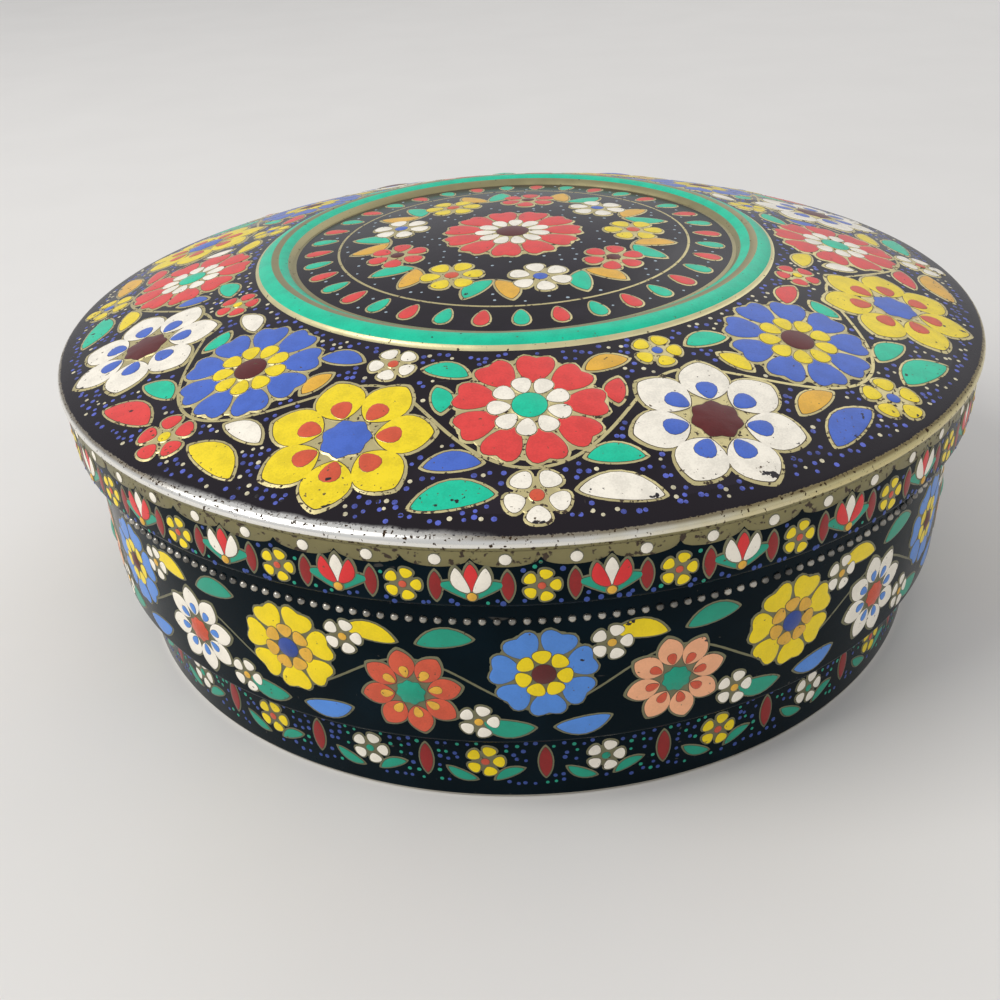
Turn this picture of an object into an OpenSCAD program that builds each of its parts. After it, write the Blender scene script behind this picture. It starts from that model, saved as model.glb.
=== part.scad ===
// Round printed tin with a domed slip lid, standing on the rolled seam of its base.
// Three pieces of tinplate: a pressed lid, a rolled wall and a pressed base.
// Millimetres, +Z up, with the origin on the axis at the table.

/* [Tinplate] */
// Thickness of the sheet
sheet = 0.35; // [0.25:0.05:0.5]

/* [Wall] */
// Outer radius of the wall
wall_r = 96; // [75:0.5:130]
// Height of the wall's mouth above the table
wall_h = 63.8; // [50:0.2:100]
// Diameter of the inward curl round the mouth
mouth_curl_d = 2; // [1.6:0.1:3]
// Height of the step above the foot band
step_z = 17.2; // [10:0.2:26]
// How far the foot band is set in from the wall
step_in = 4.2; // [3:0.1:7]
// Outer radius of the bends of the step
step_bend = 1; // [0.6:0.1:1.4]
// Width of the folded side seam, which lies inside the wall at the back
seam_w = 4; // [2.5:0.1:6]
// Thickness of the folded side seam
seam_t = 0.75; // [0.5:0.05:1]

/* [Bead row] */
// Height of the pressed beads' centres above the table
bead_z = 44.4; // [30:0.2:47]
// Diameter of the sphere that forms one bead
bead_d = 1.55; // [1:0.05:2]
// Spacing of the beads along the wall
bead_pitch = 2.47; // [2.2:0.01:4]
// How far a bead stands proud of the wall
bead_rise = 0.65; // [0.4:0.05:0.75]

/* [Base] */
// Width of the rolled seam that the tin stands on
foot_w = 2.6; // [2.2:0.1:3.5]
// Height of the rolled seam inside the foot
foot_h = 3.2; // [2.6:0.1:4.5]
// Outer radius of the rolled seam's corners
foot_bend = 0.7; // [0.5:0.05:0.9]
// Clearance in the folds of the rolled seam
fold_gap = 0.1; // [0.05:0.01:0.12]
// Height of the base's rim channel above the table
base_z = 1.6; // [1.2:0.1:2.2]
// Radius of the stepped centre of the base
base_step_r = 76; // [40:1:80]
// How far the centre of the base is pressed up
base_step_h = 1.2; // [0.6:0.1:2]

/* [Lid] */
// Clearance between the lid's hem and the wall
lid_gap = 1; // [0.4:0.1:1.5]
// Clearance between the lid and the mouth that it sits on
seat_gap = 0.3; // [0.2:0.05:0.5]
// Diameter of the inward curl of the lid's hem
hem_d = 2.2; // [1.6:0.1:3]
// Depth of the skirt below the rim bead's centre
skirt_h = 12.4; // [8:0.2:18]
// How far the rim bead stands proud of the skirt
rim_proud = 0.8; // [0.4:0.1:1]
// Outer radius of the rim bead's bend
rim_bend = 1.6; // [1.2:0.1:2.2]
// How much steeper than a straight cone the dome leaves the rim, in degrees
dome_swell = 4; // [2:0.5:16]
// Height of the raised ring's foot above the rim bead's centre
dome_rise = 13.6; // [9:0.2:16]
// Radius of the raised ring's crest
ring_r = 52.4; // [36:0.2:60]
// Width of the raised ring
ring_w = 7.7; // [5:0.1:10]
// Height of the raised ring above its feet
ring_rise = 1.6; // [1:0.1:2.2]
// Height of the centre panel's crown above the ring's feet
panel_rise = 3.4; // [1.5:0.1:6]

/* [Hidden] */

// Overlap of neighbouring stretches of one profile
lap = 0.02;
// Facets of a full turn and of the profiles' arcs
turn_fn = 180;
arc_fn = 64;
wide_fn = 720;

// Foot band and rolled seam
foot_r = wall_r - step_in;
hook_r = foot_r - foot_w;
base_leg_r = hook_r - fold_gap - sheet;

// Mouth
mouth_r = wall_r - mouth_curl_d / 2;
mouth_z = wall_h - mouth_curl_d / 2;

// Beads
bead_count = floor(2 * PI * wall_r / bead_pitch);
// Band of narrow flats that the beads are pressed in, a little taller than a bead and proud of the wall
band_margin = 0.6;
band_h = bead_d + band_margin;
band_proud = 0.03;

// Lid radii
skirt_r = wall_r + lid_gap + hem_d;
rim_r = skirt_r + rim_proud - rim_bend;
ring_out = ring_r + ring_w / 2;
ring_in = ring_r - ring_w / 2;

// The dome is one arc, tangent to the rim bead and ending at the ring's outer foot
cone_slope = atan2(dome_rise - rim_bend, rim_r - ring_out);
dome_slope = cone_slope + dome_swell;
dome_from = [rim_r + rim_bend * sin(dome_slope), rim_bend * cos(dome_slope)];
dome_chord = norm([dome_from.x - ring_out, dome_rise - dome_from.y]);
chord_slope = atan2(dome_rise - dome_from.y, dome_from.x - ring_out);
dome_r = dome_chord / (2 * sin(dome_slope - chord_slope));
dome_centre = dome_from - dome_r * [sin(dome_slope), cos(dome_slope)];

// The ring and the centre panel are arcs by their width and rise
ring_arc = arc_radius(ring_w / 2, ring_rise);
panel_arc = arc_radius(ring_in, panel_rise);

// The lid drops until its dome is a seat clearance above the mouth's curl
seat_reach = dome_r - sheet - seat_gap - mouth_curl_d / 2;
rim_z = mouth_z - dome_centre.y - sqrt(pow(seat_reach, 2) - pow(mouth_r - dome_centre.x, 2));

function arc_radius(half_width, rise) = (pow(half_width, 2) + pow(rise, 2)) / (2 * rise);

// Upper half of a sheet's arc between two radii from the axis
module arc_sheet(centre, radius, from_r, to_r) {
    intersection() {
        translate(centre) difference() {
            circle(r = radius, $fn = wide_fn);
            circle(r = radius - sheet, $fn = wide_fn);
        }
        translate([from_r - lap, centre.y]) square([to_r - from_r + 2 * lap, radius + sheet]);
    }
}

// Rectangle with round corners, from its lower corner near the axis
module round_rect(size, corner) {
    translate([corner, 0]) square([size.x - 2 * corner, size.y]);
    translate([0, corner]) square([size.x, size.y - 2 * corner]);
    for (x = [corner, size.x - corner])
        for (y = [corner, size.y - corner])
            translate([x, y]) circle(r = corner, $fn = arc_fn);
}

// Quarter bend of the sheet: quadrant 0 to 3 counts from the outer upper one, turning inwards
module bend(outer, quadrant) {
    intersection() {
        difference() {
            circle(r = outer, $fn = arc_fn);
            circle(r = outer - sheet, $fn = arc_fn);
        }
        rotate(quadrant * 90) translate([-lap, -lap]) square(outer + 2 * lap);
    }
}

// Curled edge, half a turn and a short straight end: turned over for a mouth, turned under for a hem
module curl(diameter, up) {
    for (quadrant = up ? [0, 1] : [2, 3])
        bend(diameter / 2, quadrant);
    translate([-diameter / 2, up ? -diameter / 4 : 0]) square([sheet, diameter / 4]);
}

// Pressed lid: centre panel, raised ring, dome, rim bead, skirt and curled hem
module lid_profile() {
    arc_sheet([0, dome_rise + panel_rise - panel_arc], panel_arc, lap, ring_in);
    arc_sheet([ring_r, dome_rise + ring_rise - ring_arc], ring_arc, ring_in, ring_out);
    arc_sheet(dome_centre, dome_r, ring_out, dome_from.x);
    translate([rim_r, 0]) intersection() {
        difference() {
            circle(r = rim_bend, $fn = arc_fn);
            circle(r = rim_bend - sheet, $fn = arc_fn);
        }
        translate([skirt_r - rim_r - sheet, -rim_bend]) square(2 * rim_bend);
    }
    bead_foot = sqrt(pow(rim_bend - sheet, 2) - pow(skirt_r - rim_r - sheet, 2));
    translate([skirt_r - sheet, hem_d / 2 - skirt_h]) square([sheet, skirt_h - hem_d / 2 - bead_foot]);
    translate([skirt_r - hem_d / 2, hem_d / 2 - skirt_h]) curl(hem_d, false);
}

module lid() {
    color("#24232d")
    translate([0, 0, rim_z]) rotate_extrude($fn = turn_fn) lid_profile();
}

// Rolled wall: curled mouth, straight wall, step, foot band and the seam's hook
module wall_profile() {
    translate([mouth_r, mouth_z]) curl(mouth_curl_d, true);
    translate([wall_r - sheet, step_z + step_bend]) square([sheet, mouth_z - step_z - step_bend]);
    translate([wall_r - step_bend, step_z + step_bend]) bend(step_bend, 3);
    ledge = step_in - 2 * step_bend + sheet;
    translate([wall_r - step_bend - ledge - lap, step_z]) square([ledge + 2 * lap, sheet]);
    translate([foot_r + step_bend - sheet, step_z + sheet - step_bend]) bend(step_bend, 1);
    translate([foot_r - sheet, foot_bend]) square([sheet, step_z + sheet - step_bend - foot_bend]);
    difference() {
        translate([hook_r, 0]) round_rect([foot_w, foot_h + foot_bend], foot_bend);
        translate([hook_r + sheet, sheet]) round_rect([foot_w - 2 * sheet, foot_h + foot_bend], foot_bend - sheet);
        translate([hook_r - lap, foot_h]) square([foot_w + 2 * lap, foot_bend + lap]);
    }
}

// One bead: a cap of a sphere, with its flat side buried in the sheet
module bead() {
    cap_h = bead_rise + sheet / 2;
    rotate([0, 90, 0]) rotate_extrude($fn = arc_fn) intersection() {
        translate([0, cap_h - bead_d / 2]) circle(d = bead_d, $fn = arc_fn);
        square([bead_d, cap_h]);
    }
}

// Row of small domes pressed out of the wall just below the lid, each on its own narrow flat
module bead_row() {
    turn = 360 / bead_count;
    corner_r = (wall_r + band_proud) / cos(turn / 2);
    translate([0, 0, bead_z - band_h / 2]) linear_extrude(band_h) difference() {
        polygon([for (i = [0 : bead_count - 1]) corner_r * [cos((i + 0.5) * turn), sin((i + 0.5) * turn)]]);
        circle(r = wall_r - sheet / 2, $fn = turn_fn);
    }
    for (i = [0 : bead_count - 1])
        rotate(i * turn) translate([wall_r - sheet / 2, 0, bead_z]) bead();
}

// Folded side seam, flat against the inside of the wall between the step and the mouth
module side_seam() {
    seam_from = step_z + step_bend;
    translate([-seam_w / 2, wall_r - sheet - seam_t, seam_from])
        cube([seam_w, seam_t + sheet / 2, mouth_z - mouth_curl_d - seam_from]);
}

module wall() {
    color("#101a22") {
        rotate_extrude($fn = turn_fn) wall_profile();
        bead_row();
        side_seam();
    }
}

// Pressed base: raised centre, channel, and a flange folded over the wall's hook
module base_profile() {
    ramp_out = base_step_r + base_step_h;
    square_top = foot_h + sheet;
    translate([0, base_z + base_step_h]) square([base_step_r, sheet]);
    polygon([
        [base_step_r, base_z + base_step_h],
        [ramp_out, base_z],
        [ramp_out, base_z + sheet],
        [base_step_r, base_z + base_step_h + sheet]
    ]);
    translate([ramp_out, base_z]) square([base_leg_r + sheet - ramp_out, sheet]);
    translate([base_leg_r, base_z]) square([sheet, square_top - base_z]);
    over = 2 * (sheet + fold_gap) + sheet;
    translate([base_leg_r, foot_h]) square([over, sheet]);
    translate([base_leg_r + over - sheet, base_z]) square([sheet, square_top - base_z]);
}

module base() {
    color("#b8b09a") rotate_extrude($fn = turn_fn) base_profile();
}

lid();
wall();
base();
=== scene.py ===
"""Dresses the round tin: pressed and rolled tinplate shells, and the print that lies raised on them."""

import math
import random

import bmesh
import bpy
from mathutils import Matrix, Vector
from mathutils.bvhtree import BVHTree


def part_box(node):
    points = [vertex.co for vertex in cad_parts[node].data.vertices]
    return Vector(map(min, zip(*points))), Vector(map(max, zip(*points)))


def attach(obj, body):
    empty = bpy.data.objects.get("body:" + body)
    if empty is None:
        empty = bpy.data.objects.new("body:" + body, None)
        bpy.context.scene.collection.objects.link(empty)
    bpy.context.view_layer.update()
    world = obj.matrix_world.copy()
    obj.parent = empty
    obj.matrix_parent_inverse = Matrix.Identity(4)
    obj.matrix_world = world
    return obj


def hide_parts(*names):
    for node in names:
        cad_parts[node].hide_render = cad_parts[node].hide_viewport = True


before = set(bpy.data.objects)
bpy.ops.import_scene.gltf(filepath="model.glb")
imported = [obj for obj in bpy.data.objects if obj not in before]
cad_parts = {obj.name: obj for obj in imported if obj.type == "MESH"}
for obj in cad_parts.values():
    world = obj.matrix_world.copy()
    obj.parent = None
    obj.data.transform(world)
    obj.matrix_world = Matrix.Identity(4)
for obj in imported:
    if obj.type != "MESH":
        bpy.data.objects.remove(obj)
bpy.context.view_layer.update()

# Sizes are in millimetres and come from the frame where it gives them; MM turns them to metres.
MM = 0.001
lid_low, lid_high = (Vector(corner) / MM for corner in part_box("lid"))
wall_high = Vector(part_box("wall")[1]) / MM
base_low, base_high = (Vector(corner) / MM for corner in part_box("base"))

SHEET = 0.35
# Steps of a full turn of a shell
TURN_STEPS = 288

# Lid: crown, raised ring, dome, rim bead, skirt and curled hem
CROWN_Z = lid_high.z
HEM_Z = lid_low.z
HEM_R = 1.1
SKIRT_H = 12.4
RIM_Z = HEM_Z + SKIRT_H
RIM_BEND = 1.6
RIM_PROUD = 0.8
SKIRT_R = lid_high.x - RIM_PROUD
RIM_R = SKIRT_R + RIM_PROUD - RIM_BEND
PANEL_RISE = 3.4
RING_FOOT_Z = CROWN_Z - PANEL_RISE
RING_R = 52.4
RING_HALF = 3.85
RING_RISE = 1.6
RING_IN = RING_R - RING_HALF
RING_OUT = RING_R + RING_HALF
DOME_SWELL = math.radians(4)
DOME_SLOPE = math.atan2(RING_FOOT_Z - RIM_Z - RIM_BEND, RIM_R - RING_OUT) + DOME_SWELL

# Wall: curled mouth, bead row, step, foot band and the hook of the rolled seam
BEAD_RISE = 0.65
BEAD_D = 1.55
BEAD_Z = 44.4
BEAD_COUNT = 244
WALL_R = wall_high.x - BEAD_RISE
MOUTH_R = 1.0
MOUTH_Z = wall_high.z
STEP_Z = 17.2
STEP_BEND = 1.0
STEP_IN = 4.2
FOOT_R = WALL_R - STEP_IN
FOOT_BEND = 0.7
FOOT_W = 2.6
HOOK_R = FOOT_R - FOOT_W
HOOK_Z = 3.2
SEAM_W = 4.0
SEAM_T = 0.75
SEAM_ROUND = 0.25

# Base: pressed centre, channel and the flange over the hook
BASE_Z = base_low.z
BASE_STEP_R = 76.0
BASE_STEP_H = 1.2
FOLD_GAP = 0.1
FLANGE_R = base_high.x

# Print: width of its outlines on the lid and the sides, their rise, and how far an edge sinks in
LINE_W = 0.6
SIDE_LINE_W = 0.4
LINE_RISE = 0.05
SINK = 0.015
# Height from one layer of print to the next
LAYER = 0.07
# Rings of a fill, as shares of the way from its middle out: flat fills, and domes above FLAT_DOME
FLAT_DOME = 0.1
FLAT_SHARES = (1.0, 0.7)
ROUND_SHARES = (1.0, 0.75, 0.4)
# Rise of a flower's eye on the lid and on the sides, as a share of its radius
EYE_RISE = 0.06
SIDE_EYE_RISE = 0.15
# Width of a line at a leaf's points, in line widths
TIP_LINE = 1.8
# Gold's share of an outline, the rest being a narrow dark ring of painted shade where the raised fill would
# shade its own edge, and the fill's step up at that edge
GOLD_SHARE = 0.8
EDGE_RISE = 0.03
# Spacing of the rings of a shape while it is still a disc of radius 1
RING_STEP = 0.15


def arc_radius(half_width, rise):
    """Radius of the arc that rises this much over this half width."""
    return (half_width**2 + rise**2) / (2 * rise)


PANEL_ARC = arc_radius(RING_IN, PANEL_RISE)
RING_ARC = arc_radius(RING_HALF, RING_RISE)
DOME_FROM_R = RIM_R + RIM_BEND * math.sin(DOME_SLOPE)
DOME_FROM_Z = RIM_Z + RIM_BEND * math.cos(DOME_SLOPE)
DOME_RUN = DOME_FROM_R - RING_OUT
DOME_CLIMB = RING_FOOT_Z - DOME_FROM_Z
CHORD_SLOPE = math.atan2(DOME_CLIMB, DOME_RUN)
DOME_ARC = math.hypot(DOME_RUN, DOME_CLIMB) / (2 * math.sin(DOME_SLOPE - CHORD_SLOPE))
DOME_CENTRE_R = DOME_FROM_R - DOME_ARC * math.sin(DOME_SLOPE)
DOME_CENTRE_Z = DOME_FROM_Z - DOME_ARC * math.cos(DOME_SLOPE)


class Value:
    """A shader value: arithmetic on it adds Math nodes to its finish."""

    def __init__(self, finish, socket):
        self.finish = finish
        self.socket = socket

    def maths(self, operation, first, second):
        return self.finish.node("ShaderNodeMath", {"operation": operation}, {0: first, 1: second})

    def __add__(self, other):
        return self.maths("ADD", self, other)

    def __radd__(self, other):
        return self.maths("ADD", other, self)

    def __sub__(self, other):
        return self.maths("SUBTRACT", self, other)

    def __rsub__(self, other):
        return self.maths("SUBTRACT", other, self)

    def __mul__(self, other):
        return self.maths("MULTIPLY", self, other)

    def __rmul__(self, other):
        return self.maths("MULTIPLY", other, self)


class Finish:
    """One procedural material, built round a Principled shader."""

    def __init__(self, name):
        self.material = bpy.data.materials.new(name)
        self.material.use_nodes = True
        self.tree = self.material.node_tree
        self.shader = self.tree.nodes["Principled BSDF"]
        self.place = self.node("ShaderNodeTexCoord", output="Object")

    def fill(self, socket, value):
        """Links a value to a socket, or sets it there."""
        if isinstance(value, Value):
            self.tree.links.new(value.socket, socket)
        else:
            socket.default_value = value

    def node(self, kind, settings=None, sockets=None, output=0):
        """Adds a node with its settings and sockets, and returns one of its outputs."""
        node = self.tree.nodes.new(kind)
        for name, value in (settings or {}).items():
            setattr(node, name, value)
        for name, value in (sockets or {}).items():
            self.fill(node.inputs[name], value)
        return Value(self, node.outputs[output])

    def noise(self, size, detail=2.0, stretch=None):
        """Noise with patches of about this size in millimetres, stretched along the axes if asked."""
        where = self.place
        if stretch:
            where = self.node("ShaderNodeMapping", sockets={"Vector": where, "Scale": stretch})
        return self.node(
            "ShaderNodeTexNoise", sockets={"Vector": where, "Scale": 1 / (size * MM), "Detail": detail}
        )

    def between(self, value, low, high):
        """0 below low, 1 above high and a smooth step between."""
        return self.node(
            "ShaderNodeMapRange",
            {"interpolation_type": "SMOOTHSTEP"},
            {"Value": value, "From Min": low, "From Max": high},
        )

    def above_rim(self):
        """Height above the centre of the lid's rim bead, in millimetres."""
        height = self.node("ShaderNodeSeparateXYZ", sockets={"Vector": self.place}, output="Z")
        return height * (1 / MM) - RIM_Z

    def near_rim(self):
        """1 on the print next to the rim bead, fading up the dome, and 0 on the sides."""
        height = self.above_rim()
        return self.between(height, 0.5, 1.0) * (1 - self.between(height, 2.5, 6.5))

    def reach(self, degrees):
        """How far a point lies out towards a direction round the axis, in millimetres."""
        way = (math.cos(math.radians(degrees)), math.sin(math.radians(degrees)), 0.0)
        settings = {"operation": "DOT_PRODUCT"}
        return self.node("ShaderNodeVectorMath", settings, {0: self.place, 1: way}, "Value") * (1 / MM)

    def blend(self, factor, first, second):
        """A colour between two, by a factor."""
        return self.node(
            "ShaderNodeMix", {"data_type": "RGBA"}, {0: factor, 6: first, 7: second}, output=2
        )

    def bump(self, height, depth):
        """Feeds the shader's normal from a height, with a depth in millimetres."""
        normal = self.node("ShaderNodeBump", sockets={"Height": height, "Distance": depth * MM})
        self.fill(self.shader.inputs["Normal"], normal)

    def set(self, **values):
        """Feeds the shader: base_color is its Base Color, and so on."""
        for name, value in values.items():
            words = " ".join(word.capitalize() for word in name.split("_")).replace("Ior", "IOR")
            self.fill(self.shader.inputs[words], value)


def colour(code, light=1.0):
    """Linear colour of a paint's written code, lightened or darkened."""
    parts = (int(code[i : i + 2], 16) / 255 for i in (1, 3, 5))
    linear = (c / 12.92 if c <= 0.04045 else ((c + 0.055) / 1.055) ** 2.4 for c in parts)
    return (*(c * light for c in linear), 1.0)


# Colours that several finishes share, and those of wear
LID_DARK = "#201b20"
KHAKI = "#8b845e"
RUST = "#3a2a18"
CHIPPED_INK = "#5a4a34"
SCRATCH = "#6a645c"
RIM_GOLD = "#d6c995"
RIM_TIN = "#efede7"
RIM_BROWN = "#75633f"
# Pale tin over the rubbed ground: partly wear, partly a painted glare
RUBBED_TIN_GLARE = "#dcd9d4"
PAINTED_BEAD = "#5b5956"
RUBBED_BEAD = "#bab5aa"
# How strongly the lid's dark ground mirrors the room
LID_GLOSS = 0.13
# Directions round the axis, in degrees, in which the rim is most gripped and is bare tin, both set where
# the lamp's glare falls on the rim so that they also give it a painted highlight
GRIP_GLARE_AT = 247
TIN_GLARE_AT = 210
# Brightness of the darker patches of an ink: on the lid, and on the sides, which are cleaner
LID_SHADE = 0.87
SIDE_SHADE = 0.95


def enamel(name, code, shade=LID_SHADE):
    """Stoved enamel ink: uneven, with fine specks where it has chipped and larger chips near the rim."""
    finish = Finish(name)
    mottle = finish.noise(3.0, detail=3)
    grain = finish.noise(0.35)
    near_rim = finish.near_rim()
    specks = finish.between(finish.noise(0.9, detail=4) + 0.04 * near_rim, 0.69, 0.73)
    chips = finish.between(finish.noise(2.6, detail=5) + 0.1 * near_rim, 0.72, 0.735)
    tone = finish.between(0.6 * mottle + 0.4 * grain, 0.36, 0.62)
    body = finish.blend(tone, colour(code, shade), colour(code, 1.05))
    body = finish.blend(specks, body, colour(CHIPPED_INK))
    finish.set(
        base_color=finish.blend(chips, body, colour(LID_DARK)),
        roughness=0.28 + 0.12 * mottle + 0.3 * specks,
        specular_ior_level=0.3,
        coat_weight=0.1,
        coat_roughness=0.15,
    )
    finish.bump(0.5 * grain + mottle - specks, 0.03)
    return finish.material


def lacquer_ground(name, code, haze, gloss):
    """Glossy dark ground: hairline scratches and a faint cloud of handling."""
    finish = Finish(name)
    cloud = finish.between(finish.noise(14.0, detail=4), 0.42, 0.75)
    hair = finish.between(finish.noise(0.8, detail=2, stretch=(0.04, 1.0, 0.5)), 0.74, 0.78)
    cross = finish.between(finish.noise(0.8, detail=2, stretch=(1.0, 0.05, 0.5)), 0.74, 0.78)
    marks = 0.35 * hair + 0.3 * cross
    body = finish.blend(cloud, colour(code), colour(haze))
    finish.set(
        base_color=finish.blend(marks, body, colour(SCRATCH)),
        roughness=0.16 + 0.12 * cloud + 0.2 * marks,
        specular_ior_level=gloss,
    )
    finish.bump(finish.noise(2.2) - marks, 0.015)
    return finish.material


def gold_lacquer(name, code, speck_size, specks_from):
    """Clear gold lacquer over bright tin, with brown specks where rust has come through."""
    finish = Finish(name)
    tone = finish.noise(4.0, detail=3)
    specks = finish.noise(speck_size, detail=5) + 0.05 * finish.near_rim()
    rust = finish.between(specks, specks_from, specks_from + 0.05)
    body = finish.blend(tone, colour(code, 0.8), colour(code, 1.15))
    finish.set(
        base_color=finish.blend(rust, body, colour(RUST)),
        metallic=0.9 - 0.9 * rust,
        roughness=0.3 + 0.15 * tone + 0.3 * rust,
    )
    finish.bump(finish.noise(0.5) - 2 * rust, 0.02)
    return finish.material


def worn_rim(name, ground):
    """The rim bead: ground above, a stippled brown edge, bright metal on the bead and khaki below.

    The metal is tin on the left and gold on the right: partly wear, partly a painted highlight on the side
    where the glare falls. At the front left, where fingers grip and the glare falls, the edge is bright too
    and the ground is lightened a little up the dome: partly wear, partly painted glare."""
    finish = Finish(name)
    height = finish.above_rim()
    patchy = finish.noise(5.0, detail=4)
    fine = finish.noise(0.5, detail=3)
    specks = finish.noise(0.7, detail=4)
    # Painted highlight: this mask is centred where the lamp's glare falls on the rim, and brightens the
    # edge and ground there as well as marking grip wear
    grip_and_glare = finish.between(finish.reach(GRIP_GLARE_AT), 93, 98)
    # Partly painted highlight: bare tin set towards the side where the glare falls
    silver_and_glare = finish.between(finish.reach(TIN_GLARE_AT) + 40 * (patchy - 0.5), -5, 60)
    ragged = height + 0.25 * (0.5 - patchy) + 0.35 * (0.5 - fine)
    printed = finish.between(ragged - 0.3 * grip_and_glare, 1.36, 1.44)
    # Partly painted glare: the rubbed ground up the dome is lightened towards pale tin
    rubbed = grip_and_glare * (1 - finish.between(height + 0.6 * (0.5 - patchy), 1.55, 1.95))
    thin_and_glare = rubbed * finish.between(fine, 0.34, 0.48)
    stipple = finish.between(height, 0.7, 1.25)
    khaki = 1 - finish.between(height + 0.3 * (0.5 - patchy), -0.32, -0.12)
    chips = finish.between(specks + 0.07 * stipple + 0.07 * khaki, 0.64, 0.68) * (1 - printed)
    metal = finish.blend(silver_and_glare, colour(RIM_GOLD), colour(RIM_TIN))
    metal = finish.blend((0.75 - 0.7 * grip_and_glare) * stipple, metal, colour(RIM_BROWN))
    metal = finish.blend(khaki, metal, colour(KHAKI))
    paint = finish.blend(thin_and_glare, colour(ground), colour(RUBBED_TIN_GLARE))
    finish.set(
        base_color=finish.blend(printed, finish.blend(chips, metal, colour(RUST)), paint),
        metallic=(1 - printed) * (1 - 0.9 * chips) * (1 - 0.25 * khaki) + 0.9 * printed * thin_and_glare,
        roughness=0.22 + 0.1 * patchy + 0.3 * chips + 0.08 * khaki,
        specular_ior_level=LID_GLOSS,
    )
    finish.bump(patchy - 1.5 * chips - printed, 0.02)
    return finish.material


def bare_tin(name, code):
    """Bare tinplate: the faint frost of its grains and a soft cloud."""
    finish = Finish(name)
    frost = finish.node(
        "ShaderNodeTexVoronoi", sockets={"Vector": finish.place, "Scale": 1 / (6 * MM)}, output="Color"
    )
    grains = finish.node("ShaderNodeSeparateColor", sockets={"Color": frost})
    cloud = finish.noise(18.0, detail=4)
    body = finish.blend(0.5 * grains + 0.5 * cloud, colour(code, 0.82), colour(code, 1.05))
    finish.set(base_color=body, metallic=1.0, roughness=0.3 + 0.16 * cloud + 0.05 * grains)
    finish.bump(0.3 * grains + finish.noise(0.7), 0.008)
    return finish.material


def pewter(name):
    """Pressed beads: paint rubbed off in patches to grey metal, darker where it still holds."""
    finish = Finish(name)
    rubbed = finish.between(finish.noise(7.0, detail=4), 0.36, 0.62)
    finish.set(
        base_color=finish.blend(rubbed, colour(PAINTED_BEAD), colour(RUBBED_BEAD)),
        metallic=0.9,
        roughness=0.2 + 0.16 * finish.noise(0.8),
    )
    finish.bump(finish.noise(0.4), 0.02)
    return finish.material


# Inks of the print, in the order of their slots
INKS = {
    "gold_line": gold_lacquer("gold_line", "#d9cb95", 0.9, 0.6),
    "cream": enamel("cream", "#f6eedd"),
    "red": enamel("red", "#e0433f"),
    "dark_red": enamel("dark_red", "#931b1a"),
    "yellow": enamel("yellow", "#f0d51f"),
    "amber": enamel("amber", "#e6b03c"),
    "blue": enamel("blue", "#4768c2"),
    "sky": enamel("sky", "#5b93e0"),
    "green": enamel("green", "#10c49b"),
    "salmon": enamel("salmon", "#eaa172"),
    "coral": enamel("coral", "#d4573a"),
    "maroon": enamel("maroon", "#5c1c1c"),
    "khaki": gold_lacquer("khaki_band", KHAKI, 1.3, 0.57),
    "mist": enamel("mist", "#9fb0ba"),
    # Painted shade: a narrow dark ring round each fill, standing for the shadow of its raised edge
    "edge_shade": enamel("edge_shade", "#4a3d2a"),
    "dot_blue": enamel("dot_blue", "#5a66c4", 0.4),
    "dot_pale": enamel("dot_pale", "#e2d8b6", 0.6),
}
# The sides have cleaner inks than the lid, and duller outlines and deeper greens and blues that are painted
# shade for the dimmer sides
SIDE_INKS = {
    **INKS,
    # Painted shade: the sides' gold, green and blue are darker copies of the lid's
    "gold_line": gold_lacquer("shaded_gold_line", "#7f7d62", 0.9, 0.66),
    # Painted shade: the sides' dark ring round each fill, darker still
    "edge_shade": enamel("side_edge_shade", "#34332a"),
    "cream": enamel("side_cream", "#f6eedd", SIDE_SHADE),
    "red": enamel("side_red", "#de2e2f", SIDE_SHADE),
    "yellow": enamel("side_yellow", "#f5d704", SIDE_SHADE),
    "blue": enamel("shaded_side_blue", "#324b96"),
    "green": enamel("shaded_side_green", "#12997b", SIDE_SHADE),
    "sky": enamel("side_sky", "#4f88d6", SIDE_SHADE),
    "salmon": enamel("side_salmon", "#f4b084", SIDE_SHADE),
}
INK_SLOTS = {name: slot for slot, name in enumerate(INKS)}


def new_piece(name, bm, materials, body):
    """Makes a bmesh a smooth piece that rides on a body."""
    mesh = bpy.data.meshes.new(name)
    bm.to_mesh(mesh)
    bm.free()
    for material in materials:
        mesh.materials.append(material)
    mesh.shade_smooth()
    piece = bpy.data.objects.new(name, mesh)
    bpy.context.collection.objects.link(piece)
    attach(piece, body)
    return piece


def add_mesh(bm, part):
    """Moves a finished part into a larger bmesh."""
    mesh = bpy.data.meshes.new("part")
    part.to_mesh(mesh)
    part.free()
    bm.from_mesh(mesh)
    bpy.data.meshes.remove(mesh)


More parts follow.
